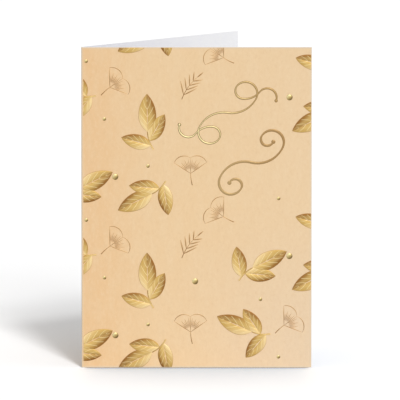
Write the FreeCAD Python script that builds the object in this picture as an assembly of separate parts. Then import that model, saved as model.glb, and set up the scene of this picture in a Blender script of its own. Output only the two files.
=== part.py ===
import FreeCAD, Part
import math
import os

# A greeting card: one sheet of board, scored and folded once at its left side, which stands
# half open on its lower edges. Its outside is printed in one plain colour, its inside is bare
# white board, and the front panel carries raised gold foil.
#
# The front panel lies along X and faces -Y, and the back panel swings away behind it.
# Everything is in millimetres. The origin is the middle of the footprint, at table level.
# The foil is drawn on the front panel's own plane, x from the fold's centre to the free edge
# and y up, and is then stood up against the printed surface.

# The sheet, folded
panel_width = 127.0
panel_height = 177.8
opening_angle = 47.0
board_thickness = 0.36
fold_inner_radius = 0.30
score_bead_radius = 0.45

# The printed ground, which stops just short of the cut edges
print_thickness = 0.04
print_margin = 0.10

# The foil: how far each kind stands up from the print, and its bare margin at the edges
leaf_foil_rise = 0.14
line_foil_rise = 0.10
pen_foil_rise = 0.20
dot_rise = 0.26
foil_margin = 0.40
line_width = 0.42

# Every leaf is widest at this share of its length from the foot
leaf_belly = 0.42

# The solid sprig: three full leaves on a bent stem, each slit along its midrib
solid_tip_leaf = (21.0, 9.8)
solid_side_leaf = (17.0, 8.2)
solid_stem_length = 10.5
solid_stem_width = 0.8
solid_stem_bend = 34.0
solid_leaf_spread = 48.0
solid_side_places = (2.6, 5.4)
midrib_width = 0.60
midrib_share = (0.10, 0.78)

# The twig: fine needles in pairs on a bent stem, shorter towards its tip
twig_needle = (8.0, 0.64)
twig_last_needle_share = 0.55
twig_stem_length = 15.0
twig_stem_bend = 30.0
twig_needle_spread = 38.0
twig_first_pair = 2.6
twig_pairs = 4

# The fan leaf, drawn in line: two lobes on a stalk, with veins that spread from its foot
fan_radius = 11.0
fan_half_angle = 56.0
fan_crown_share = 0.50
fan_notch = 0.80
fan_stalk_length = 7.0
fan_stalk_bend = 16.0
fan_veins_a_side = 3
fan_vein_reach = 0.72

# Each lobe is hollow: how far its hollow's foot and rim lie in, as shares of the line width
fan_foot_share = 2.0
fan_rim_share = 3.2

# The pattern is a half-drop repeat. A place is (x, y, turn) in one repeat, and a dot has a
# radius in place of its turn.
repeat_width = 96.0
repeat_height = 88.0
pattern_start = (-28.0, -12.0)
solid_sprig_places = ((26.0, 30.0, -30.0), (66.0, 14.0, 150.0), (58.0, 58.0, 35.0), (20.0, 72.0, 100.0))
twig_places = ((86.0, 82.0, -20.0),)
fan_places = ((86.0, 34.0, 16.0), (44.0, 82.0, -40.0), (7.0, 52.0, 70.0))
dot_places = (
    (46.0, 30.0, 1.7),
    (64.0, 36.0, 1.0),
    (8.0, 60.0, 1.3),
    (90.0, 60.0, 1.7),
    (40.0, 62.0, 1.0),
    (30.0, 6.0, 1.0),
)
clear_gap = 1.0
edge_share = 0.65

# The pen flourishes stand where a greeting would be written. A stroke is (radius, sweep),
# walked from the middle of the flourish outwards, and a positive sweep turns left.
flourish_slant = 21.0
flourish_room = 3.0
upper_place = (80.0, 141.5)
upper_pen_width = 1.1
upper_start = -30.0
upper_strokes = ((15.0, 70.0), (6.4, 160.0), (4.4, 130.0), (10.5, 60.0), (5.2, -160.0))
lower_place = (93.0, 114.0)
lower_pen_width = 1.4
lower_start = -35.0
lower_strokes = ((15.0, 80.0), (6.6, 170.0), (3.6, 190.0))

# Worked out from the sizes above
board_outer_radius = fold_inner_radius + board_thickness
print_outer_radius = board_outer_radius + print_thickness
flat_length = panel_width - print_outer_radius
highest_foil = max(leaf_foil_rise, line_foil_rise, pen_foil_rise, dot_rise)
origin = FreeCAD.Vector(0, 0, 0)


def at(length, degrees):
    """The point at that distance and direction from the origin, in the XY plane."""
    turn = math.radians(degrees)
    return FreeCAD.Vector(length * math.cos(turn), length * math.sin(turn), 0)


def folded_strip(inner_radius, outer_radius, length):
    """The plan of a strip that runs along both panels and round the fold, as a face."""
    along_back = at(length, opening_angle)
    front_out, front_in = at(outer_radius, 270), at(inner_radius, 270)
    back_out, back_in = at(outer_radius, opening_angle + 90), at(inner_radius, opening_angle + 90)
    middle_of_fold = 180 + opening_angle / 2
    free_end = FreeCAD.Vector(length, 0, 0)
    edges = [
        Part.LineSegment(front_out + free_end, front_out).toShape(),
        Part.Arc(front_out, at(outer_radius, middle_of_fold), back_out).toShape(),
        Part.LineSegment(back_out, back_out + along_back).toShape(),
        Part.LineSegment(back_out + along_back, back_in + along_back).toShape(),
        Part.LineSegment(back_in + along_back, back_in).toShape(),
        Part.Arc(back_in, at(inner_radius, middle_of_fold), front_in).toShape(),
        Part.LineSegment(front_in, front_in + free_end).toShape(),
        Part.LineSegment(front_in + free_end, front_out + free_end).toShape(),
    ]
    return Part.Face(Part.Wire(edges))


def card_board():
    """The folded sheet, with the small bead that scoring raises along the inside of the fold."""
    plan = folded_strip(fold_inner_radius, board_outer_radius, flat_length)
    sheet = plan.extrude(FreeCAD.Vector(0, 0, panel_height))
    bead = Part.makeCylinder(score_bead_radius, panel_height)
    return sheet.fuse(bead).removeSplitter()


def printed_ground():
    """The plain printed field that covers the outside of both panels and the fold."""
    plan = folded_strip(board_outer_radius, print_outer_radius, flat_length - print_margin)
    field = plan.extrude(FreeCAD.Vector(0, 0, panel_height - 2 * print_margin))
    field.translate(FreeCAD.Vector(0, 0, print_margin))
    return field


def raised(face, rise):
    """A flat face made a plate of foil that stands up by that much."""
    return face.extrude(FreeCAD.Vector(0, 0, rise))


def placed(shape, x, y, turn):
    """A copy of the shape, turned in the panel's plane and moved to that place."""
    copy = shape.copy()
    copy.rotate(origin, FreeCAD.Vector(0, 0, 1), turn)
    copy.translate(FreeCAD.Vector(x, y, 0))
    return copy


def mirrored(shape):
    """The shape's mirror image across the Y axis."""
    return shape.mirror(origin, FreeCAD.Vector(1, 0, 0))


def fused(plates):
    """Plates that overlap, joined into one."""
    return plates[0].multiFuse(plates[1:]).removeSplitter()


def leaf_side(end, belly, half_width, side):
    """The arc from a leaf's foot or tip to its widest place, where it runs straight up the leaf."""
    radius = (half_width**2 + (end - belly) ** 2) / (2 * half_width)
    turn = math.atan2(end - belly, radius - half_width) / 2
    middle_x = half_width - radius + radius * math.cos(turn)
    middle = FreeCAD.Vector(side * middle_x, belly + radius * math.sin(turn), 0)
    widest = FreeCAD.Vector(side * half_width, belly, 0)
    return Part.Arc(FreeCAD.Vector(0, end, 0), middle, widest).toShape()


def leaf_face(length, width, foot=0.0):
    """A pointed leaf along +Y as a face, with its foot that far up the Y axis."""
    belly, tip = foot + leaf_belly * length, foot + length
    right = [leaf_side(foot, belly, width / 2, 1), leaf_side(tip, belly, width / 2, 1)]
    left = [leaf_side(tip, belly, width / 2, -1), leaf_side(foot, belly, width / 2, -1)]
    return Part.Face(Part.Wire(right + left))


def sliver_face(length, width, foot=0.0):
    """A thin straight-sided sliver along +Y as a face, widest at the middle."""
    middle = foot + length / 2
    corners = [(0, foot), (width / 2, middle), (0, foot + length), (-width / 2, middle), (0, foot)]
    return Part.Face(Part.makePolygon([FreeCAD.Vector(x, y, 0) for x, y in corners]))


def arc_band(start, heading, radius, sweep, width):
    """A band of that width along an arc, as a face, with its middle, its end and its last heading."""
    side = 1 if sweep > 0 else -1
    centre = start + at(radius, heading + side * 90)
    first = heading - side * 90
    middle, last = first + sweep / 2, first + sweep
    inner, outer = radius - width / 2, radius + width / 2
    edges = [
        Part.Arc(at(outer, first), at(outer, middle), at(outer, last)).toShape(),
        Part.LineSegment(at(outer, last), at(inner, last)).toShape(),
        Part.Arc(at(inner, last), at(inner, middle), at(inner, first)).toShape(),
        Part.LineSegment(at(inner, first), at(outer, first)).toShape(),
    ]
    band = Part.Face(Part.Wire(edges))
    band.translate(centre)
    return band, centre + at(radius, middle), centre + at(radius, last), heading + sweep


def stem(length, bend, width, rise):
    """A bent stem that starts upwards from the origin, and a way to find places along it."""
    radius = length / math.radians(bend)
    band = arc_band(origin, 90, radius, -bend, width)[0]

    def along(distance):
        turn = distance / radius
        return radius * (1 - math.cos(turn)), radius * math.sin(turn), -math.degrees(turn)

    return raised(band, rise), along


def solid_sprig():
    """Three full leaves on a bent stem, and the sprig's reach. Each leaf is slit along its midrib."""

    def slit_leaf(length, width):
        first, last = midrib_share
        slit = sliver_face((last - first) * length, midrib_width, first * length)
        return raised(leaf_face(length, width).cut(slit), leaf_foil_rise)

    stalk, along = stem(solid_stem_length, solid_stem_bend, solid_stem_width, leaf_foil_rise)
    plates = [stalk, placed(slit_leaf(*solid_tip_leaf), *along(solid_stem_length))]
    for distance, side in zip(solid_side_places, (1, -1)):
        x, y, heading = along(distance)
        plates.append(placed(slit_leaf(*solid_side_leaf), x, y, heading + side * solid_leaf_spread))
    reach = (solid_stem_length + solid_tip_leaf[0]) / 2
    return placed(fused(plates), 0, -reach, 0), reach


def twig():
    """Pairs of fine needles on a bent stem, with one more at its tip, and the twig's reach."""
    stalk, along = stem(twig_stem_length, twig_stem_bend, line_width, line_foil_rise)
    longest, width = twig_needle
    shortest = longest * twig_last_needle_share
    tip = raised(sliver_face(shortest, width, -line_width), line_foil_rise)
    plates = [stalk, placed(tip, *along(twig_stem_length))]
    for pair in range(twig_pairs):
        share = pair / twig_pairs
        needle = raised(sliver_face(longest + (shortest - longest) * share, width), line_foil_rise)
        x, y, heading = along(twig_first_pair + (twig_stem_length - twig_first_pair) * share)
        for side in (1, -1):
            plates.append(placed(needle, x, y, heading + side * twig_needle_spread))
    reach = (twig_stem_length + shortest) / 2
    return placed(fused(plates), 0, -reach, 0), reach


def fan_lobe(radius, foot):
    """One half of the fan as a face: a straight side, a round rim, and its half of the notch."""
    foot_point = FreeCAD.Vector(0, foot, 0)
    corner = foot_point + at(radius, 90 - fan_half_angle)
    crown = foot_point + at(radius, 90 - fan_half_angle * fan_crown_share)
    notch = foot_point + at(radius * fan_notch, 90)
    edges = [
        Part.LineSegment(foot_point, corner).toShape(),
        Part.Arc(corner, crown, notch).toShape(),
        Part.LineSegment(notch, foot_point).toShape(),
    ]
    return Part.Face(Part.Wire(edges))


def fan_leaf():
    """A two-lobed fan leaf drawn in line, with spreading veins and a stalk, and its reach."""
    hollow = fan_lobe(fan_radius - fan_rim_share * line_width, fan_foot_share * line_width)
    hollow.translate(FreeCAD.Vector(line_width / 2, 0, 0))
    half = [raised(fan_lobe(fan_radius, 0).cut(hollow), line_foil_rise)]
    for number in range(fan_veins_a_side):
        vein = sliver_face(fan_vein_reach * fan_radius, line_width)
        turn = fan_half_angle * (number + 0.5) / fan_veins_a_side
        half.append(placed(raised(vein, line_foil_rise), 0, 0, -turn))
    stalk, along = stem(fan_stalk_length, fan_stalk_bend, line_width, line_foil_rise)
    foot = along(fan_stalk_length - line_width)
    plates = [stalk] + [placed(plate, *foot) for plate in half + [mirrored(p) for p in half]]
    reach = (fan_stalk_length + fan_radius) / 2
    return placed(fused(plates), 0, -reach, 0), reach


def flourish(strokes, start, width):
    """A pen flourish, and marks along it. Its two halves are half a turn apart."""
    point, heading = origin, start
    plates, marks = [], [point]
    for radius, sweep in strokes:
        band, middle, point, heading = arc_band(point, heading, radius, sweep, width)
        plates.append(raised(band, pen_foil_rise))
        marks += [middle, point]
    whole = fused(plates + [placed(plate, 0, 0, 180) for plate in plates])
    return whole, Part.makeCompound([Part.Vertex(side * mark) for mark in marks for side in (1, -1)])


def repeats():
    """The corner of every repeat that can reach the panel. Every second column drops by half."""
    columns = math.ceil((flat_length - pattern_start[0]) / repeat_width)
    rows = math.ceil((panel_height - pattern_start[1]) / repeat_height)
    for column in range(-1, columns + 1):
        drop = repeat_height / 2 if column % 2 else 0.0
        for row in range(-1, rows + 1):
            yield (
                pattern_start[0] + column * repeat_width,
                pattern_start[1] + row * repeat_height + drop,
            )


def scatter(motif, reach, places, taken):
    """Copies of a motif wherever the panel has room. One at an edge is cut there, unless it
    would lie with its middle further out than the edge share of its reach."""
    field = Part.makeBox(
        flat_length - 2 * foil_margin,
        panel_height - 2 * foil_margin,
        highest_foil,
        FreeCAD.Vector(foil_margin, foil_margin, 0),
    )
    solids = []
    for corner_x, corner_y in repeats():
        for place_x, place_y, turn in places:
            x, y = corner_x + place_x, corner_y + place_y
            over = edge_share * reach
            on_panel = -over < x < flat_length + over and -over < y < panel_height + over
            crowded = any(math.dist((x, y), spot) < reach + other + clear_gap for spot, other in taken)
            if on_panel and not crowded:
                taken.append(((x, y), reach))
                solids += placed(motif, x, y, turn).common(field).Solids
    return solids


def stood_up(solids):
    """Foil drawn in the panel's plane, stood up against the printed front."""
    whole = Part.makeCompound(solids)
    whole.rotate(origin, FreeCAD.Vector(1, 0, 0), 90)
    whole.translate(FreeCAD.Vector(0, -print_outer_radius, 0))
    return whole


def build():
    """Every node of the card by name, in the fold's own frame."""
    pens, taken = [], []
    for strokes, start, width, place in (
        (upper_strokes, upper_start, upper_pen_width, upper_place),
        (lower_strokes, lower_start, lower_pen_width, lower_place),
    ):
        pen, marks = flourish(strokes, start, width)
        pens.append(placed(pen, *place, flourish_slant))
        for mark in placed(marks, *place, flourish_slant).Vertexes:
            taken.append(((mark.X, mark.Y), flourish_room))
    solid_sprigs = scatter(*solid_sprig(), solid_sprig_places, taken)
    twigs = scatter(*twig(), twig_places, taken)
    fans = scatter(*fan_leaf(), fan_places, taken)
    dots = []
    for x, y, radius in dot_places:
        dot = Part.makeCylinder(radius, dot_rise)
        dots += scatter(dot, radius, ((x, y, 0.0),), taken)
    return {
        "card_board": card_board(),
        "printed_ground": printed_ground(),
        "foil_leaf_sprigs": stood_up(solid_sprigs),
        "foil_line_work": stood_up(twigs + fans + pens),
        "foil_dots": stood_up(dots),
    }


def main():
    """Moves the card over its footprint's middle and writes each node."""
    os.makedirs("parts", exist_ok=True)
    back_reach = at(flat_length, opening_angle) + at(print_outer_radius, opening_angle + 90)
    middle_x = (flat_length - print_outer_radius) / 2
    middle_y = (back_reach.y - print_outer_radius - highest_foil) / 2
    for name, shape in build().items():
        shape.translate(FreeCAD.Vector(-middle_x, -middle_y, 0))
        shape.exportStep(f"parts/{name}.step")
        print(name, len(shape.Solids), "solids", round(shape.Volume, 3), "mm3", shape.isValid())


main()
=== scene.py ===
# %% [markdown]
# # A greeting card with gold foil
#
# The card is one sheet of board, folded once at its left side, and it stands half open. Its
# outside is printed in a warm peach, its inside is bare white, and gold foil is pressed on
# its front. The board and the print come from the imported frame, which already has their true
# shape. This lesson gives them paper finishes, and builds each kind of foil again in finer
# relief, in the places where the frame holds it.

# %% Load the frame
import math

import bmesh
import bpy
from mathutils import Euler, Matrix, Vector


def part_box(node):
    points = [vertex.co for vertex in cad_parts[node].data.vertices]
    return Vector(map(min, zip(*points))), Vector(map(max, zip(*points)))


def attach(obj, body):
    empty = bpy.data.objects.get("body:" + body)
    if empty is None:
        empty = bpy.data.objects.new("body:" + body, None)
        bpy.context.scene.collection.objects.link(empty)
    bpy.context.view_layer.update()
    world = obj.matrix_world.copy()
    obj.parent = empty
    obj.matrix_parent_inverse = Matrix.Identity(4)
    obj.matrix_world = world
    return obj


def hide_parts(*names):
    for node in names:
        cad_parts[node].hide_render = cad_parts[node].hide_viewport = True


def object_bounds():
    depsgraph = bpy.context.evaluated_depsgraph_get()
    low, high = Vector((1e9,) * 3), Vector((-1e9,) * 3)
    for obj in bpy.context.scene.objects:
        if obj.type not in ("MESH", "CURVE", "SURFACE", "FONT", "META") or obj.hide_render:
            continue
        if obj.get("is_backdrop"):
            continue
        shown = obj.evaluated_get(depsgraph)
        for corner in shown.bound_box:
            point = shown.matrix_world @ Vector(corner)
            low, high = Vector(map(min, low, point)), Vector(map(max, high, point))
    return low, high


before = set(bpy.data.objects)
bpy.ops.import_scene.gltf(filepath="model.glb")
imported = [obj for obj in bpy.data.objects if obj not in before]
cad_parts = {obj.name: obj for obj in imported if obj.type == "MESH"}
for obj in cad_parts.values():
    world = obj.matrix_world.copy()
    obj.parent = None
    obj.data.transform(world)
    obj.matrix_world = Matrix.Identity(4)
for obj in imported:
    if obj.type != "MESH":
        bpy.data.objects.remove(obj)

cad_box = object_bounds()
board_low, board_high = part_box("card_board")
print_low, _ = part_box("printed_ground")
print("nodes in the frame:", ", ".join(sorted(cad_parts)))

# %% [markdown]
# ## Where the foil lies
#
# Foil is easiest to draw flat, as a maker's artwork is: x runs from the fold to the free edge,
# y runs up, z stands out of the paper, and all three are in millimetres. One matrix then stands
# the finished drawing against the printed front. Its place comes from the frame's own boxes.

# %% The front panel
MM = 0.001
fold_radius = 0.70
foil_margin = 0.40
sunk = -0.01

fold_x = print_low.x + fold_radius * MM
panel_width = (board_high.x - fold_x) / MM
panel_height = (board_high.z - board_low.z) / MM
stand_up = (
    Matrix.Translation((fold_x, print_low.y, board_low.z))
    @ Matrix.Rotation(math.radians(90), 4, "X")
    @ Matrix.Scale(MM, 4)
)
print(f"front panel {panel_width:.1f} x {panel_height:.1f} mm")

# %% [markdown]
# ## Small helpers for the mesh
#
# Every foil form starts as a flat grid from `create_grid`. Its rows are moved to the outline and
# its middle is puffed up. Working on a grid keeps the rows in order, so a picture coordinate can
# follow the form.

# %% Grids
def grid(bm, across, along):
    """A flat grid as a list of (vertex, share across, share along). Shares run from 0 to 1."""
    made = bmesh.ops.create_grid(bm, x_segments=across, y_segments=along, size=1.0)
    return [(v, (v.co.x + 1) / 2, (v.co.y + 1) / 2) for v in made["verts"]]


def faces_of(verts):
    """The faces that use those vertices."""
    return list({face for v in verts for face in v.link_faces})


def around(verts):
    """Those vertices with the edges and faces that use them."""
    return list(verts) + list({edge for v in verts for edge in v.link_edges}) + faces_of(verts)


def only(kind, geometry):
    """The items of one kind, out of what an operator gave back."""
    return [item for item in geometry if isinstance(item, kind)]


def place(bm, verts, x, y, turn):
    """Turns those vertices in the drawing's plane, in degrees, and moves them to their place."""
    matrix = Matrix.Translation((x, y, 0)) @ Matrix.Rotation(math.radians(turn), 4, "Z")
    bmesh.ops.transform(bm, matrix=matrix, verts=verts)


# %% [markdown]
# Then the sheet is extruded down into the paper, which closes it. A form that runs off the panel
# is cut at the foil's margin at once, while it is still a shell of its own: the cut is then one
# plain loop, which `holes_fill` can close.

# %% Closing and trimming
weld_gap = 1e-5


def trim_to_panel(bm, verts):
    """Cuts one closed shell off at the foil's margin, and closes the cuts."""
    sides = (
        (Vector((foil_margin, 0, 0)), Vector((-1, 0, 0))),
        (Vector((panel_width - foil_margin, 0, 0)), Vector((1, 0, 0))),
        (Vector((0, foil_margin, 0)), Vector((0, -1, 0))),
        (Vector((0, panel_height - foil_margin, 0)), Vector((0, 1, 0))),
    )
    for point, outward in sides:
        if any((v.co - point).dot(outward) > 0 for v in verts):
            cut = bmesh.ops.bisect_plane(
                bm,
                geom=around(verts),
                dist=weld_gap,
                plane_co=point,
                plane_no=outward,
                clear_outer=True,
            )
            bmesh.ops.holes_fill(bm, edges=only(bmesh.types.BMEdge, cut["geom_cut"]), sides=0)
            verts = [v for v in only(bmesh.types.BMVert, cut["geom"]) if v.is_valid]


def close_shell(bm, faces):
    """Gives an open sheet its sides and a flat underside in the paper, then trims the shell."""
    verts = list({v for face in faces for v in face.verts})
    made = bmesh.ops.extrude_face_region(bm, geom=faces)
    base = only(bmesh.types.BMVert, made["geom"])
    for vert in base:
        vert.co.z = sunk
    trim_to_panel(bm, verts + base)


# %% [markdown]
# A finished drawing is stood up on the card, and becomes a piece with its body that takes the
# place of its node. Its smooth faces meet at a crisp edge wherever the foil turns down into the
# paper.

# %% Pieces of foil
crisp_angle = math.radians(55)


def foil_piece(name, bm, material, node):
    """Stands a drawing up on the card as a finished piece that takes the place of a node."""
    bmesh.ops.transform(bm, matrix=stand_up, verts=bm.verts)
    bmesh.ops.recalc_face_normals(bm, faces=bm.faces)
    mesh = bpy.data.meshes.new(name)
    bm.to_mesh(mesh)
    open_edges = sum(1 for e in bm.edges if len(e.link_faces) != 2)
    bm.free()
    mesh.polygons.foreach_set("use_smooth", [True] * len(mesh.polygons))
    mesh.set_sharp_from_angle(angle=crisp_angle)
    mesh.materials.append(material)
    piece = bpy.data.objects.new(name, mesh)
    bpy.context.scene.collection.objects.link(piece)
    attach(piece, "root")
    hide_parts(node)
    triangles = sum(len(p.vertices) - 2 for p in mesh.polygons)
    print(f"{name}: {triangles} triangles, {open_edges} open edges")
    return piece


# %% [markdown]
# ## Small helpers for the materials
#
# A finish is easier to read as arithmetic than as a list of nodes. `Value` wraps one socket, and
# Python's own operators on it add Math nodes.

# %% Values
def math_node(operation, swapped=False):
    """A method for Value that adds one Math node to its shading."""

    def method(self, other):
        pair = (other, self) if swapped else (self, other)
        return self.shading.node("ShaderNodeMath", {"operation": operation}, dict(enumerate(pair)))

    return method


class Value:
    """One socket of a node tree, which can be used in an expression."""

    def __init__(self, shading, socket):
        self.shading = shading
        self.socket = socket

    __add__ = __radd__ = math_node("ADD")
    __mul__ = __rmul__ = math_node("MULTIPLY")
    __sub__ = math_node("SUBTRACT")
    __rsub__ = math_node("SUBTRACT", swapped=True)
    __truediv__ = math_node("DIVIDE")
    __pow__ = math_node("POWER")
    above = math_node("MAXIMUM")
    below = math_node("MINIMUM")

    def size(self):
        return self.shading.node("ShaderNodeMath", {"operation": "ABSOLUTE"}, {0: self})

    def fraction(self):
        return self.shading.node("ShaderNodeMath", {"operation": "FRACT"}, {0: self})

    def between(self, low, high):
        """0 below low, 1 above high, and a smooth rise from one to the other."""
        settings = {"interpolation_type": "SMOOTHSTEP"}
        sockets = {"Value": self, "From Min": low, "From Max": high}
        return self.shading.node("ShaderNodeMapRange", settings, sockets)


# %% [markdown]
# `Shading` holds one node tree, and its `node` method adds any other kind of node. The world has
# such a tree too. `Finish` is the tree of one material, with the few kinds of node that every
# finish needs.

# %% Node trees and finishes
class Shading:
    """One node tree."""

    def __init__(self, tree):
        self.tree = tree

    def plug(self, value, socket):
        if isinstance(value, Value):
            self.tree.links.new(value.socket, socket)
        else:
            socket.default_value = value

    def node(self, kind, settings=None, sockets=None, output=0):
        """Adds a node, sets it up, plugs its sockets by name or number, and gives one output."""
        made = self.tree.nodes.new(kind)
        for key, value in (settings or {}).items():
            setattr(made, key, value)
        for key, value in (sockets or {}).items():
            self.plug(value, made.inputs[key])
        return Value(self, made.outputs[output])


class Finish(Shading):
    """One material, with a Principled shader."""

    def __init__(self, name, **constants):
        self.material = bpy.data.materials.new(name)
        self.material.use_nodes = True
        super().__init__(self.material.node_tree)
        self.shader = self.tree.nodes["Principled BSDF"]
        self.set(**{key.replace("_", " "): value for key, value in constants.items()})

    def set(self, **sockets):
        for key, value in sockets.items():
            self.plug(value, self.shader.inputs[key])

    def blend(self, share, first, second):
        """A colour between two colours."""
        sockets = {0: share, 6: first, 7: second}
        return self.node("ShaderNodeMix", {"data_type": "RGBA"}, sockets, output=2)

    def coordinates(self, kind):
        """The object's own place, or the piece's UV map, as (vector, x, y, z)."""
        vector = self.node("ShaderNodeTexCoord", output=kind)
        parts = [self.node("ShaderNodeSeparateXYZ", {}, {0: vector}, output=i) for i in range(3)]
        return [vector] + parts

    def stretched(self, vector, scale):
        """The same place, measured with another scale along each axis."""
        return self.node("ShaderNodeMapping", {}, {"Vector": vector, "Scale": scale})

    def noise(self, vector, scale, detail=3.0, roughness=0.55):
        sockets = {"Vector": vector, "Scale": scale, "Detail": detail, "Roughness": roughness}
        return self.node("ShaderNodeTexNoise", {}, sockets)

    def bump(self, height, distance, strength=1.0):
        """Plugs a relief into the shader's normal. The distance is in metres."""
        sockets = {"Height": height, "Distance": distance, "Strength": strength}
        self.set(Normal=self.node("ShaderNodeBump", {}, sockets))


def ink(red, green, blue):
    """A colour as a picture gives it, from 0 to 255, as the linear colour that a shader needs."""
    linear = [
        c / 12.92 if c <= 0.04045 else ((c + 0.055) / 1.055) ** 2.4
        for c in (red / 255, green / 255, blue / 255)
    ]
    return (*linear, 1.0)


# %% [markdown]
# ## The bare board
#
# Card board is pressed fibre, so up close it is never flat: short fibres lie mostly one way, and
# soft patches are a little denser. The relief is only hundredths of a millimetre, far too fine
# for a mesh, so it goes into a bump. The board is a cool white, with painted shade that greys it
# towards the fold, where the two panels close in. The frame's own node has the right shape
# already, fold bead included, so it only gets this finish.

# %% White board
fibre_scale = (900, 900, 2600)
board_relief = 0.00003


def board_finish():
    """White card board, with painted shade greying it towards the fold."""
    finish = Finish("bare_white_board", Roughness=0.82)
    place_vector, _, y, _ = finish.coordinates("Object")
    fibres = finish.noise(finish.stretched(place_vector, fibre_scale), 1.0, 4.0, 0.6)
    patches = finish.noise(place_vector, 160.0, 2.0)
    tone = patches * 0.6 + fibres * 0.4
    white = finish.blend(tone.between(0.3, 0.7), ink(251, 251, 254), ink(255, 255, 255))
    # Painted shade: the white greys towards the fold, where the panels close in.
    from_fold = (y - print_low.y) / (board_high.y - print_low.y)
    white = finish.blend((1 - from_fold.between(-0.2, 1.1)) * 0.7, white, ink(232, 231, 238))
    finish.set(**{"Base Color": white})
    finish.bump(fibres * 0.6 + patches * 0.4, board_relief, 0.5)
    return finish.material


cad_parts["card_board"].data.materials.clear()
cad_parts["card_board"].data.materials.append(board_finish())
print("the board is bare white")

# %% [markdown]
# ## The printed ground
#
# The peach ground is ink on the same board. It is a touch warmer towards the fold and a touch
# greyer at the lower right, with a faint cloudiness that runs up the sheet. Along the fold and the
# cut edges a narrow band is greyer: worn ink, and along the fold also a painted highlight where
# its rounding catches the light. At the very edge the ink has rubbed through here and there, so
# the white of the board starts to show.

# %% Peach print
wear_and_highlight_width = 0.0016
rubbed_width = 0.0004
print_relief = 0.000025


def print_finish():
    """Peach ink on card board, worn at its edges, with a painted highlight along the fold."""
    finish = Finish("peach_print", Specular_IOR_Level=0.25)
    place_vector, x, _, z = finish.coordinates("Object")
    across = (x - fold_x) / (board_high.x - fold_x)
    up = (z - board_low.z) / (board_high.z - board_low.z)
    warm, middle, cool = ink(235, 196, 148), ink(236, 204, 160), ink(236, 206, 165)
    ground = finish.blend(across.between(0.0, 0.35), warm, middle)
    ground = finish.blend(across.between(0.45, 1.0), ground, cool)
    low_corner = across.between(0.2, 1.1) * (1 - up.between(0.0, 0.55))
    ground = finish.blend(low_corner * 0.8, ground, ink(231, 207, 178))

    clouds = finish.noise(finish.stretched(place_vector, (210, 210, 70)), 1.0, 4.0, 0.6)
    mottle = finish.noise(finish.stretched(place_vector, (620, 620, 380)), 1.0, 3.0, 0.65)
    flecks = finish.noise(finish.stretched(place_vector, (1400, 1400, 900)), 1.0, 3.0, 0.7)
    ground = finish.blend(clouds.between(0.35, 0.75) * 0.30, ground, ink(240, 214, 176))
    ground = finish.blend(mottle.between(0.50, 0.75) * 0.30, ground, ink(246, 220, 186))
    ground = finish.blend((1 - mottle.between(0.28, 0.50)) * 0.26, ground, ink(222, 187, 142))
    ground = finish.blend(flecks.between(0.5, 0.9) * 0.22, ground, ink(218, 180, 134))

    from_cut = (board_high.x - x).below(z - board_low.z).below(board_high.z - z)
    from_edge = (x - print_low.x).below(from_cut)
    # A grey band along the fold and the cut edges: worn ink, and along the fold also a painted
    # highlight.
    wear_and_highlight = 1 - from_edge.between(0.0, wear_and_highlight_width)
    ground = finish.blend(wear_and_highlight * 0.8, ground, ink(226, 207, 180))
    wear = finish.noise(place_vector, 2600.0, 3.0, 0.7)
    rubbed = 1 - from_edge.between(0.0, rubbed_width)
    ground = finish.blend(rubbed * wear.between(0.30, 0.62) * 0.7, ground, ink(240, 232, 220))

    finish.set(**{"Base Color": ground, "Roughness": clouds * 0.12 + 0.56})
    fibres = finish.noise(finish.stretched(place_vector, fibre_scale), 1.0, 4.0, 0.6)
    finish.bump(fibres * 0.7 + flecks * 0.3, print_relief, 0.5)
    return finish.material


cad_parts["printed_ground"].data.materials.clear()
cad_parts["printed_ground"].data.materials.append(print_finish())
print("the outside is printed in peach")

# %% [markdown]
# ## Walking a pen
#
# The flourishes, stems and outlines are all drawn as a pen draws them: a start, a heading and a
# list of arcs. `walk` gives points along that path, and `draw_stroke` lays a rounded bead over
# them, as wide at each point as the pen presses there.

# %% Paths and strokes
bead_roundness = 0.8
fine_crown = 4


def at(length, degrees):
    """The point at that distance and direction from the origin."""
    return Vector((math.cos(math.radians(degrees)), math.sin(math.radians(degrees)))) * length


def walk(start, heading, strokes, step=0.5):
    """Points along a path of arcs, as (point, heading). A stroke is (radius, sweep in degrees)."""
    points = [(Vector(start), heading)]
    for radius, sweep in strokes:
        side = 1 if sweep > 0 else -1
        origin, first = points[-1]
        centre = origin + at(radius, first + side * 90)
        count = max(2, math.ceil(radius * math.radians(abs(sweep)) / step))
        for number in range(1, count + 1):
            turned = sweep * number / count
            points.append((centre + at(radius, first - side * 90 + turned), first + turned))
    return points


def draw_stroke(bm, points, width_at, rise, bottom=0.0, crown=6):
    """A rounded bead along the points. Its UV runs across in u and along in v."""
    uv = bm.loops.layers.uv.verify()
    cells = grid(bm, crown, len(points) - 1)
    for vert, across, along in cells:
        point, heading = points[round(along * (len(points) - 1))]
        side = math.cos(math.pi * across)
        offset = at(width_at(along) / 2 * side, heading + 90)
        height = bottom + (rise - bottom) * math.sqrt(max(0.0, 1 - side * side)) ** bead_roundness
        vert.co = (point.x + offset.x, point.y + offset.y, height)
    shares = {vert: (across, along) for vert, across, along in cells}
    faces = faces_of(shares)
    for face in faces:
        for loop in face.loops:
            loop[uv].uv = shares[loop.vert]
    close_shell(bm, faces)


def straight(first, last, count=12):
    """Points along a straight line, as (point, heading)."""
    first, last = Vector(first), Vector(last)
    along = last - first
    heading = math.degrees(math.atan2(along.y, along.x))
    return [(first + along * number / count, heading) for number in range(count + 1)]


def tapered(width, thin=0.12):
    """A pen that presses in the middle of its stroke and lifts at both ends."""
    return lambda along: width * max(thin, math.sin(math.pi * along) ** 0.6)


def narrowing(width, first_share, loss):
    """A pen that lifts evenly along its stroke. The loss is a share of its width too."""
    return lambda along: width * (first_share - loss * along)


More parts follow.
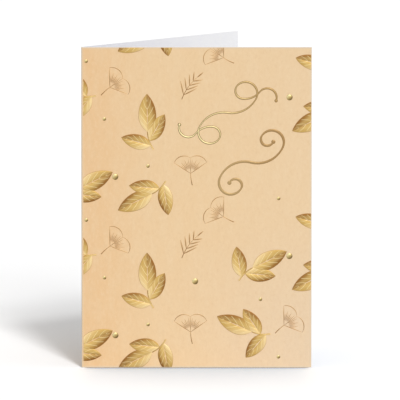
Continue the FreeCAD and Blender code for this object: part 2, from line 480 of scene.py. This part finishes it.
def turned_points(points, x, y, turn):
    """The same path, turned about the origin and moved to its place."""
    rotation = Matrix.Rotation(math.radians(turn), 2)
    return [(rotation @ point + Vector((x, y)), heading + turn) for point, heading in points]


# %% [markdown]
# ## Sharing out the panel
#
# The pattern is a half-drop repeat, as on wallpaper: every second column of motifs slides up by
# half a repeat, so that the eye finds no rows. The pen flourishes are laid down first, and a
# motif is left out where it would come too near to them or to another one.

# %% The repeat
repeat_width, repeat_height = 96.0, 88.0
pattern_start = (-28.0, -12.0)
clear_gap = 1.0
edge_share = 0.65
taken = []


def repeat_corners():
    columns = math.ceil((panel_width - pattern_start[0]) / repeat_width)
    rows = math.ceil((panel_height - pattern_start[1]) / repeat_height)
    for column in range(-1, columns + 1):
        drop = repeat_height / 2 if column % 2 else 0.0
        for row in range(-1, rows + 1):
            corner_x = pattern_start[0] + column * repeat_width
            yield corner_x, pattern_start[1] + row * repeat_height + drop


def free_places(places, reach):
    """Where a motif of that reach stands on the panel, as (x, y, turn)."""
    spots = []
    over = edge_share * reach
    for corner_x, corner_y in repeat_corners():
        for place_x, place_y, turn in places:
            x, y = corner_x + place_x, corner_y + place_y
            on_panel = -over < x < panel_width + over and -over < y < panel_height + over
            crowded = any(
                math.dist((x, y), spot) < reach + other + clear_gap for spot, other in taken
            )
            if on_panel and not crowded:
                taken.append(((x, y), reach))
                spots.append((x, y, turn))
    return spots


# %% [markdown]
# ## The pen flourishes
#
# Two flourishes stand where a greeting would be written. A broad pen makes a line that is thin
# one way and wide the other, so the width follows the heading. The upper one is drawn twice: a
# wide dark line, and a pale raised line on top of it, which leaves a fine dark outline on both
# sides. The lower one is a single solid line in brown gold. Each half of a flourish is the other
# half turned round, and a small ball of foil closes each end.

# %% Draw the flourishes
flourish_slant = 21.0
flourish_room = 3.0
nib_angle = 35.0
ball_sides = 28
ball_rings = 14
ball_height_share = 1.15
upper_place = (80.0, 141.5)
upper_start = -30.0
upper_strokes = ((15.0, 70.0), (6.4, 160.0), (4.4, 130.0), (10.5, 60.0), (5.2, -160.0))
lower_place = (93.0, 114.0)
lower_start = -35.0
lower_strokes = ((15.0, 80.0), (6.6, 170.0), (3.6, 190.0))


def claim_flourish(start, strokes, spot):
    """Notes the start, middle and end of each stroke as taken, on both halves."""
    point, heading = Vector((0, 0)), start
    marks = [point]
    for stroke in strokes:
        path = walk(point, heading, (stroke,), step=stroke[0] * math.radians(abs(stroke[1])) / 2)
        marks += [path[1][0], path[2][0]]
        point, heading = path[-1]
    for mark in marks:
        for side in (1, -1):
            moved, _ = turned_points([(mark * side, 0)], *spot, flourish_slant)[0]
            taken.append(((moved.x, moved.y), flourish_room))


def flourish_path(start, strokes, spot):
    """The whole path of a flourish from one end to the other, in its place."""
    half = walk((0, 0), start, strokes)
    other = [(-point, heading) for point, heading in reversed(half[1:])]
    return turned_points(other + half, *spot, flourish_slant)


def add_ball(bm, x, y, radius, height):
    """A half ball of foil on the paper, closed underneath."""
    made = bmesh.ops.create_uvsphere(
        bm, u_segments=ball_sides, v_segments=ball_rings, radius=radius
    )
    verts = made["verts"]
    bmesh.ops.scale(bm, vec=(1, 1, height / radius), verts=verts)
    bmesh.ops.translate(bm, vec=(x, y, 0), verts=verts)
    cut = bmesh.ops.bisect_plane(
        bm,
        geom=around(verts),
        dist=weld_gap,
        plane_co=(0, 0, sunk),
        plane_no=(0, 0, -1),
        clear_outer=True,
    )
    bmesh.ops.holes_fill(bm, edges=only(bmesh.types.BMEdge, cut["geom_cut"]), sides=0)
    trim_to_panel(bm, [v for v in only(bmesh.types.BMVert, cut["geom"]) if v.is_valid])


def pen_width(thin, wide, path):
    """How wide the pen draws at each share of the path, from its heading there."""

    def width_at(along):
        _, heading = path[round(along * (len(path) - 1))]
        lean = abs(math.sin(math.radians(heading - flourish_slant - nib_angle)))
        return thin + (wide - thin) * lean

    return width_at


def flourish(path, thin, wide, rise, bottom, ball_radius):
    """One flourish as a mesh: a pen stroke from thin to wide, and a ball at each end."""
    bm = bmesh.new()
    draw_stroke(bm, path, pen_width(thin, wide, path), rise, bottom)
    for end in (path[0], path[-1]):
        add_ball(bm, end[0].x, end[0].y, ball_radius, rise * ball_height_share)
    return bm


claim_flourish(upper_start, upper_strokes, upper_place)
claim_flourish(lower_start, lower_strokes, lower_place)
upper_path = flourish_path(upper_start, upper_strokes, upper_place)
lower_path = flourish_path(lower_start, lower_strokes, lower_place)
print("flourish points:", len(upper_path), len(lower_path))

# %% [markdown]
# ## Foil finishes
#
# Real foil is a thin metal film. It is metallic and fairly smooth, and the fine grain of the
# paper comes through it. Its colour is set where the piece tells it to be: the UV of a leaf runs
# from the midrib to the rim and from foot to tip, so the tone can fade along each leaf.

# %% Foil finishes
foil_metal = 0.5
foil_grain = 0.000012
grain_scale = (2400, 2400, 2400)


def foil(name, roughness):
    """A foil finish with the grain of the paper showing through it."""
    finish = Finish(name, Roughness=roughness, Metallic=foil_metal)
    place_vector = finish.coordinates("Object")[0]
    finish.bump(finish.noise(finish.stretched(place_vector, grain_scale), 1.0), foil_grain, 0.4)
    return finish


def pen_foil(name, left, right, ends, roughness=0.42):
    """Foil that turns from one tone to another across the panel, between two places in x."""
    finish = foil(name, roughness)
    place_vector, x, _, _ = finish.coordinates("Object")
    patches = finish.noise(place_vector, 240.0, 2.0)
    share = ((x - fold_x) / MM - patches * 12 + 6).between(*ends)
    finish.set(**{"Base Color": finish.blend(share, left, right)})
    return finish.material


pale_to_brown = pen_foil("pale_to_brown_pen_foil", ink(232, 215, 160), ink(176, 144, 92), (56, 104))
dark_outline = pen_foil("dark_outline_pen_foil", ink(120, 98, 58), ink(150, 118, 72), (56, 104))
brown_gold = pen_foil("brown_gold_pen_foil", ink(174, 146, 100), ink(160, 126, 78), (70, 112))

foil_piece(
    "upper_flourish_outline",
    flourish(upper_path, thin=0.75, wide=1.30, rise=0.12, bottom=0.0, ball_radius=0.95),
    dark_outline,
    "foil_line_work",
)
foil_piece(
    "upper_flourish_line",
    flourish(upper_path, thin=0.35, wide=0.80, rise=0.20, bottom=0.04, ball_radius=0.62),
    pale_to_brown,
    "foil_line_work",
)
foil_piece(
    "lower_flourish",
    flourish(lower_path, thin=0.95, wide=1.60, rise=0.20, bottom=0.0, ball_radius=1.15),
    brown_gold,
    "foil_line_work",
)

# %% [markdown]
# ## The bold sprigs
#
# A sprig is three full leaves on a bent stem. A leaf is two cushions with a slit between them,
# where its midrib is, so one half is shaped and then mirrored. The outline is four arcs that run
# straight up the leaf at its widest place. Low pillows between the side veins catch the light as
# embossed foil does.

# %% Shape one leaf
leaf_belly = 0.42
midrib_width = 0.60
midrib_share = (0.10, 0.78)
leaf_edge_rise = 0.10
leaf_puff = 0.13
leaf_roundness = 0.7
vein_count = 5.0
vein_slope = 0.32
vein_relief = 0.012
leaf_columns = 8
leaf_rows = 44
point_fill = 2.6
seam_gap = 1e-3


def half_width(y, length, width):
    """How far the leaf's outline is from its midrib, at that height."""
    belly = leaf_belly * length
    span = belly if y < belly else length - belly
    radius = ((width / 2) ** 2 + span**2) / width
    return width / 2 - radius + math.sqrt(max(0.0, radius**2 - (y - belly) ** 2))


def half_slit(share):
    """Half of the midrib's slit at that share of the leaf's length."""
    first, last = midrib_share
    middle, reach = (first + last) / 2, (last - first) / 2
    return max(0.0, midrib_width / 2 * (1 - abs(share - middle) / reach))


def add_leaf(bm, length, width, x, y, turn, lift=0.0):
    """One leaf with its slit, its cushions and its vein pillows, at its place."""
    uv = bm.loops.layers.uv.verify()
    cells = grid(bm, leaf_columns, leaf_rows)
    shares = {}
    for vert, across, along in cells:
        share = 0.5 - 0.5 * math.cos(math.pi * along)
        slit = half_slit(share)
        outline = max(half_width(share * length, length, width), slit)
        fullness = math.sin(math.pi * across) ** leaf_roundness
        fullness *= min(1.0, point_fill * outline / width)
        vein = (share - vein_slope * across) * vein_count % 1.0
        pillow = abs(math.sin(math.pi * vein)) * vein_relief * fullness
        height = lift + leaf_edge_rise + leaf_puff * fullness + pillow
        vert.co = (slit + across * (outline - slit), share * length, height)
        shares[vert] = (across, share)
    verts = list(shares)
    for face in faces_of(verts):
        for loop in face.loops:
            across, share = shares[loop.vert]
            loop[uv].uv = (0.5 + across / 2, share)
    made = bmesh.ops.mirror(bm, geom=around(verts), axis="X", merge_dist=seam_gap / 10)
    mirrored = only(bmesh.types.BMVert, made["geom"])
    for face in faces_of(mirrored):
        if face.calc_center_median().x < 0:
            for loop in face.loops:
                loop[uv].uv.x = min(loop[uv].uv.x, 1 - loop[uv].uv.x)
    whole = list({v for v in verts + mirrored if v.is_valid})
    merged = bmesh.ops.find_doubles(bm, verts=whole, dist=seam_gap)
    bmesh.ops.weld_verts(bm, targetmap=merged["targetmap"])
    whole = [v for v in whole if v.is_valid]
    place(bm, whole, x, y, turn)
    close_shell(bm, faces_of(whole))


# %% [markdown]
# ## Three leaves on a stem
#
# Each sprig is placed by the repeat. The stem is an arc, so the place and the heading of a leaf
# at any distance along it come from the arc's own angle.

# %% Build the sprigs
tip_leaf = (21.0, 9.8)
side_leaf = (17.0, 8.2)
sprig_stem_length = 10.5
sprig_stem_width = 0.8
sprig_stem_bend = 34.0
sprig_leaf_spread = 48.0
sprig_side_places = (2.6, 5.4)
stem_rise = 0.30
leaf_step = 0.02
tip_lift = 0.05
sprig_places = (
    (26.0, 30.0, -30.0),
    (66.0, 14.0, 150.0),
    (58.0, 58.0, 35.0),
    (20.0, 72.0, 100.0),
)
sprig_reach = (sprig_stem_length + tip_leaf[0]) / 2


def along_stem(distance, length, bend, reach):
    """The place and turn at that distance up a bent stem, with the motif's middle at the origin."""
    radius = length / math.radians(bend)
    turn = distance / radius
    return radius * (1 - math.cos(turn)), radius * math.sin(turn) - reach, -math.degrees(turn)


def put(x, y, turn, spot):
    """A place within a motif, carried to the motif's spot on the panel."""
    moved = Matrix.Rotation(math.radians(spot[2]), 2) @ Vector((x, y)) + Vector(spot[:2])
    return moved.x, moved.y, turn + spot[2]


def stem_points(length, bend, reach, spot, step=0.6):
    """The path of a bent stem at its spot on the panel."""
    radius = length / math.radians(bend)
    return turned_points(walk((0, -reach), 90, ((radius, -bend),), step), *spot)


def sprig(bm, spot):
    """A sprig at its spot. Each leaf lies a little higher than the one before it."""
    path = stem_points(sprig_stem_length, sprig_stem_bend, sprig_reach, spot)
    draw_stroke(bm, path, narrowing(sprig_stem_width, 1.1, 0.5), stem_rise, leaf_edge_rise)
    for number, (distance, side) in enumerate(zip(sprig_side_places, (1, -1))):
        x, y, heading = along_stem(distance, sprig_stem_length, sprig_stem_bend, sprig_reach)
        spread = put(x, y, heading + side * sprig_leaf_spread, spot)
        add_leaf(bm, *side_leaf, *spread, leaf_step * number)
    x, y, heading = along_stem(sprig_stem_length, sprig_stem_length, sprig_stem_bend, sprig_reach)
    add_leaf(bm, *tip_leaf, *put(x, y, heading, spot), tip_lift)


sprig_spots = free_places(sprig_places, sprig_reach)
sprig_mesh = bmesh.new()
for spot in sprig_spots:
    sprig(sprig_mesh, spot)
print("sprigs:", len(sprig_spots))

# %% [markdown]
# The leaf's gold runs from a deep tone at its tip to a pale one at its foot, and is deeper on one
# half than on the other: this is the foil's own tone and also a painted reflection of the light it
# mirrors. A soft light band beside the midrib is a painted sheen. Fine cream veins lie in the
# valleys between the pillows, and a thin darker line follows the rim. All of it is drawn on the
# leaf's own UV.

# %% Leaf gold
def leaf_gold():
    """Gold that fades along the leaf, partly as painted reflection, with a painted sheen, cream
    veins and a darker rim.
    """
    finish = foil("leaf_gold", 0.38)
    uv_vector, across, along, _ = finish.coordinates("UV")
    from_midrib = (across - 0.5).size() * 2
    # The fade along the leaf and across its halves: the foil's tone and a painted reflection.
    tone = along * 0.85 + (across - 0.5) * 0.80 + 0.08
    gold = finish.blend(tone.between(-0.10, 0.45), ink(234, 206, 152), ink(198, 162, 88))
    gold = finish.blend(tone.between(0.35, 1.00), gold, ink(140, 94, 32))
    # Painted sheen: a soft light band beside the midrib.
    painted_sheen = 1 - (from_midrib - 0.35).size().between(0.0, 0.45)
    gold = finish.blend(painted_sheen * 0.25, gold, ink(236, 208, 140))
    brushed = finish.noise(finish.stretched(uv_vector, (26, 3, 1)), 1.0, 3.0, 0.6)
    gold = finish.blend(brushed.between(0.35, 0.8) * 0.22, gold, ink(160, 118, 52))
    place_in_cell = ((along - from_midrib * vein_slope) * vein_count).fraction()
    valley = place_in_cell.below(1 - place_in_cell)
    vein = (1 - valley.between(0.02, 0.07)) * (1 - from_midrib.between(0.72, 0.85))
    vein = vein * along.between(0.08, 0.16) * (1 - along.between(0.80, 0.92))
    gold = finish.blend(vein * 0.75, gold, ink(244, 226, 172))
    rim = from_midrib.between(0.93, 0.97)
    gold = finish.blend(rim * 0.6, gold, ink(150, 108, 52))
    finish.set(**{"Base Color": gold})
    return finish.material


foil_piece("gold_leaf_sprigs", sprig_mesh, leaf_gold(), "foil_leaf_sprigs")

# %% [markdown]
# ## Twigs in fine line
#
# The small motifs are drawn with a fine brown pen that lifts as it goes. A twig is a stem with
# pairs of needles, shorter towards its tip, and one more needle at the tip itself.

# %% Build the twigs
line_width = 0.42
line_rise = 0.10
needle_rise = 0.13
twig_needle = (8.0, 0.64)
twig_last_needle_share = 0.55
twig_stem_length = 15.0
twig_stem_bend = 30.0
twig_needle_spread = 38.0
twig_first_pair = 2.6
twig_pairs = 4
twig_places = ((86.0, 82.0, -20.0),)
twig_reach = (twig_stem_length + twig_needle[0] * twig_last_needle_share) / 2


def twig(bm, spot):
    """A twig at its spot."""
    path = stem_points(twig_stem_length, twig_stem_bend, twig_reach, spot)
    draw_stroke(bm, path, narrowing(line_width, 1.0, 0.5), line_rise, crown=fine_crown)
    longest, width = twig_needle
    shortest = longest * twig_last_needle_share
    for pair in range(twig_pairs + 1):
        share = pair / twig_pairs
        distance = twig_first_pair + (twig_stem_length - twig_first_pair) * share
        x, y, heading = along_stem(distance, twig_stem_length, twig_stem_bend, twig_reach)
        for side in (1, -1) if pair < twig_pairs else (0,):
            needle_x, needle_y, turn = put(x, y, heading + side * twig_needle_spread, spot)
            length = longest + (shortest - longest) * share
            needle = straight((0, 0), (0, length))
            path = turned_points(needle, needle_x, needle_y, turn)
            draw_stroke(bm, path, tapered(width), needle_rise, crown=fine_crown)


twig_mesh = bmesh.new()
twig_spots = free_places(twig_places, twig_reach)
for spot in twig_spots:
    twig(twig_mesh, spot)
print("twigs:", len(twig_spots))

# %% [markdown]
# ## Fan leaves in fine line
#
# A fan leaf is a stalk, two round lobes that meet in a notch, and veins that spread from the
# foot. The veins start a little away from the foot, where so many lines would run into one.

# %% Build the fan leaves
fan_radius = 11.0
fan_half_angle = 56.0
fan_crown_share = 0.50
fan_notch = 0.80
fan_stalk_length = 7.0
fan_stalk_bend = 16.0
fan_veins_a_side = 3
fan_vein_reach = 0.72
fan_vein_start = 0.24
fan_vein_step = 0.03
short_vein_share = 0.82
fan_middle_width = 0.8 * line_width
fan_vein_width = 0.75 * line_width
fan_line_thin = 0.35
stalk_rise = 0.12
fan_places = ((86.0, 34.0, 16.0), (44.0, 82.0, -40.0), (7.0, 52.0, 70.0))
fan_reach = (fan_stalk_length + fan_radius) / 2


def arc_through(first, middle, last, step=0.5):
    """Points along the arc through three points, as (point, heading)."""
    first, middle, last = Vector(first), Vector(middle), Vector(last)
    to_middle, to_last = middle - first, last - first
    cross = 2 * (to_middle.x * to_last.y - to_middle.y * to_last.x)
    square_middle, square_last = to_middle.length_squared, to_last.length_squared
    centre = first + Vector((
        (to_last.y * square_middle - to_middle.y * square_last) / cross,
        (to_middle.x * square_last - to_last.x * square_middle) / cross,
    ))
    radius = (first - centre).length
    start = math.degrees(math.atan2(first.y - centre.y, first.x - centre.x))
    end = math.degrees(math.atan2(last.y - centre.y, last.x - centre.x))
    side = 1 if cross > 0 else -1
    sweep = (end - start) * side % 360 * side
    return walk(first, start + side * 90, ((radius, sweep),), step)


def fan(bm, spot):
    """A fan leaf at its spot."""
    x, y, heading = along_stem(
        fan_stalk_length - line_width, fan_stalk_length, fan_stalk_bend, fan_reach
    )
    foot = put(x, y, heading, spot)
    stalk = stem_points(fan_stalk_length, fan_stalk_bend, fan_reach, spot)
    draw_stroke(bm, stalk, narrowing(line_width, 1.1, 0.3), stalk_rise, crown=fine_crown)
    inset = line_width / 2
    notch = at(fan_radius * fan_notch - inset, 90)
    lines = [(straight((0, 0), notch), fan_middle_width)]
    for side in (1, -1):
        corner = at(fan_radius - inset, 90 - side * fan_half_angle)
        crown = at(fan_radius - inset, 90 - side * fan_half_angle * fan_crown_share)
        lines += [
            (straight((0, 0), corner), line_width),
            (arc_through(corner, crown, notch), line_width),
        ]
        for number in range(2 * fan_veins_a_side):
            angle = 90 - side * fan_half_angle * (number + 1) / (2 * fan_veins_a_side + 1)
            first = fan_radius * (fan_vein_start + fan_vein_step * (number % 2))
            last = fan_radius * fan_vein_reach * (short_vein_share if number % 2 else 1)
            lines.append((straight(at(first, angle), at(last, angle)), fan_vein_width))
    for line, width in lines:
        pen = tapered(width, fan_line_thin)
        draw_stroke(bm, turned_points(line, *foot), pen, line_rise, crown=fine_crown)


fan_mesh = bmesh.new()
fan_spots = free_places(fan_places, fan_reach)
for spot in fan_spots:
    fan(fan_mesh, spot)
print("fan leaves:", len(fan_spots))

# %% [markdown]
# The gold of the fine lines grows paler along each stroke, as a pen runs dry, so its tone
# follows the stroke's own UV. Soft patches keep two strokes from being quite alike.

# %% Fine line foil
def line_gold():
    """Brown gold that grows paler towards the end of each stroke."""
    finish = foil("fine_line_gold", 0.42)
    along = finish.coordinates("UV")[2]
    patches = finish.noise(finish.coordinates("Object")[0], 120.0, 2.0)
    fade = along * 0.6 + patches * 0.5
    gold = finish.blend(fade.between(0.25, 0.95), ink(150, 108, 60), ink(206, 168, 118))
    finish.set(**{"Base Color": gold})
    return finish.material


fine_line = line_gold()
foil_piece("fine_line_twigs", twig_mesh, fine_line, "foil_line_work")
foil_piece("fine_line_fans", fan_mesh, fine_line, "foil_line_work")

# %% [markdown]
# ## Dots
#
# The dots are drops of foil with a domed top. Their tone runs from a light upper left to a dark
# lower right, as on a lit ball: this is painted light and shade, drawn on the dot's UV and not
# left to the lamps.

# %% Build the dots
dot_places = (
    (46.0, 30.0, 1.7),
    (64.0, 36.0, 1.0),
    (8.0, 60.0, 1.3),
    (90.0, 60.0, 1.7),
    (40.0, 62.0, 1.0),
    (30.0, 6.0, 1.0),
)
dot_height_share = 0.26


def dot(bm, x, y, radius):
    """One dome, with a flat UV over it."""
    before = set(bm.faces)
    add_ball(bm, x, y, radius, radius * dot_height_share)
    uv = bm.loops.layers.uv.verify()
    for face in set(bm.faces) - before:
        for loop in face.loops:
            flat = (loop.vert.co.xy - Vector((x, y))) / (2 * radius)
            loop[uv].uv = flat + Vector((0.5, 0.5))


dot_mesh = bmesh.new()
dot_count = 0
for place_x, place_y, radius in dot_places:
    for x, y, _ in free_places(((place_x, place_y, 0.0),), radius):
        dot(dot_mesh, x, y, radius)
        dot_count += 1
print("dots:", dot_count)


def dot_gold():
    """Drops of gold, with painted light at the upper left and painted shade at the lower right."""
    finish = foil("dot_gold", 0.42)
    _, across, along, _ = finish.coordinates("UV")
    # Painted light and shade: light at the upper left, dark at the lower right.
    slope = (across - 0.5) * 0.7 - (along - 0.5) * 0.7 + 0.5
    gold = finish.blend(slope.between(0.10, 0.55), ink(220, 206, 152), ink(180, 156, 98))
    gold = finish.blend(slope.between(0.45, 0.90), gold, ink(122, 100, 58))
    finish.set(**{"Base Color": gold})
    return finish.material


foil_piece("gold_dots", dot_mesh, dot_gold(), "foil_dots")

# %% [markdown]
# ## The floor
#
# The card stands on a white sweep, which would come out grey in this light, so for the camera,
# and for what foil mirrors, its white is lifted. It stays matt, so it keeps the shadow, and no
# extra light reaches the card. Two touches deepen the shade that the card throws close by: a
# soft one wherever the card closes off the sky, and a thin dark line at the front's foot.

# %% Floor
floor_size = 60.0
plain_white = 0.86
lifted_white = 1.54
contact_reach = 0.15
contact_tone = (0.77, 0.89, 1.06, 1.0)
open_share = 0.30
front_blur = 0.010
foot_blur = 0.004
foot_solid, foot_reach = 0.0014, 0.0032
foot_tone = (0.04, 0.025, 0.012, 1.0)


def white_floor():
    """A wide flat floor with its matt white finish."""
    mesh = bpy.data.meshes.new("floor")
    bm = bmesh.new()
    bmesh.ops.create_grid(bm, x_segments=1, y_segments=1, size=floor_size / 2)
    bmesh.ops.translate(bm, vec=(0, 0, board_low.z), verts=bm.verts)
    bm.to_mesh(mesh)
    bm.free()
    floor = bpy.data.objects.new("floor", mesh)
    bpy.context.scene.collection.objects.link(floor)
    floor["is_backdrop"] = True

    finish = Finish("white_floor")
    seen = finish.node("ShaderNodeLightPath", output="Is Camera Ray")
    for kind in ("Is Glossy Ray", "Is Transmission Ray"):
        seen = seen.above(finish.node("ShaderNodeLightPath", output=kind))
    _, x, y, _ = finish.coordinates("Object")
    before = print_low.y - y
    beside = (x - (print_low.x + board_high.x) / 2).size()
    half = (board_high.x - print_low.x) / 2
    in_front = before.between(-0.004, 0.002)
    in_front = in_front * (1 - beside.between(half - front_blur, half + front_blur))
    sockets = {"Distance": contact_reach}
    clear = finish.node("ShaderNodeAmbientOcclusion", {"samples": 16}, sockets, output="AO")
    near = (1 - clear) * 2 * (open_share + (1 - open_share) * in_front)
    white = finish.blend(near, (lifted_white, lifted_white, lifted_white, 1), contact_tone)
    under = before.between(-0.001, 0.0) * (1 - beside.between(half - foot_blur, half))
    at_foot = (1 - before.between(foot_solid, foot_reach)) * under
    white = finish.blend(at_foot, white, foot_tone)
    plain = (plain_white, plain_white, plain_white, 1)
    matt = finish.node("ShaderNodeBsdfDiffuse", {}, {"Color": finish.blend(seen, plain, white)})
    finish.plug(matt, finish.tree.nodes["Material Output"].inputs["Surface"])
    finish.tree.nodes.remove(finish.shader)
    floor.data.materials.append(finish.material)


white_floor()
print(f"the floor is {floor_size:.0f} m wide")

# %% [markdown]
# ## The light
#
# Three lamps from the front right stand for one tall soft box. They all come from the same side,
# so they throw one shadow to the left and behind: the higher two give it its body, and the low
# wide one a haze that fades far behind the card. A pale world fills in. The strengths are set so
# that the card's own colours come out as they are written.

# %% Lamps and world
lamp_turn = 13.0
lamps = (("high_key", 0.62, 42.0, 7.0), ("key", 0.57, 34.0, 8.0), ("low_key", 0.77, 22.0, 20.0))
world_fill = 0.35


def light_up():
    """The lamps, as (name, strength, height in degrees, softness in degrees), and the world."""
    for name, strength, height, softness in lamps:
        lamp = bpy.data.lights.new(name, "SUN")
        lamp.energy = strength
        lamp.angle = math.radians(softness)
        sun = bpy.data.objects.new(name, lamp)
        sun.rotation_euler = Euler((math.radians(90 - height), 0, math.radians(lamp_turn)))
        bpy.context.scene.collection.objects.link(sun)

    world = bpy.data.worlds.new("studio")
    world.use_nodes = True
    bpy.context.scene.world = world
    sky = Shading(world.node_tree)
    seen = sky.node("ShaderNodeLightPath", output="Is Camera Ray")
    seen = seen.above(sky.node("ShaderNodeLightPath", output="Is Glossy Ray"))
    background = world.node_tree.nodes["Background"]
    sky.plug((1, 1, 1, 1), background.inputs["Color"])
    sky.plug(seen * (1 - world_fill) + world_fill, background.inputs["Strength"])


light_up()
print("lamps:", ", ".join(lamp[0] for lamp in lamps))

# %% [markdown]
# ## The camera
#
# The picture looks almost straight at the front, a little from above, through a long lens, so
# that the front stays a true rectangle. The camera is placed from the card's own middle, the
# width that the frame should show and the lens.

# %% Camera
camera_elevation = math.radians(6.4)
camera_lens = 900.0
sensor_width = 36.0
frame_width = 0.2205
aim_right = 0.0019
aim_up = 0.0042


def set_camera():
    """A long lens, turned down by its elevation."""
    data = bpy.data.cameras.new("camera")
    data.lens = camera_lens
    data.sensor_width = sensor_width
    data.clip_end = 100.0
    camera = bpy.data.objects.new("camera", data)
    forward = Vector((0, math.cos(camera_elevation), -math.sin(camera_elevation)))
    up = Vector((0, math.sin(camera_elevation), math.cos(camera_elevation)))
    middle_x = (print_low.x + board_high.x) / 2
    middle_z = (board_low.z + board_high.z) / 2
    middle = Vector((middle_x, print_low.y, middle_z))
    target = middle + Vector((aim_right, 0, 0)) + up * aim_up
    camera.location = target - forward * frame_width * camera_lens / sensor_width
    camera.rotation_euler = Euler((math.radians(90) - camera_elevation, 0, 0))
    bpy.context.scene.collection.objects.link(camera)
    bpy.context.scene.camera = camera
    print(f"camera {(camera.location - target).length:.2f} m away")


set_camera()
bpy.context.scene.view_settings.view_transform = "Standard"

# %% [markdown]
# ## Sizes
#
# Last, the box of everything now in the scene is held against the box that the frame had, and
# how far each corner moved is printed.

# %% Sizes and finish
visual_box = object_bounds()
for side, before, after in zip(("low", "high"), cad_box, visual_box):
    moved = [round((b - a) / MM, 2) for a, b in zip(before, after)]
    print(f"the {side} corner moved by {moved} mm")
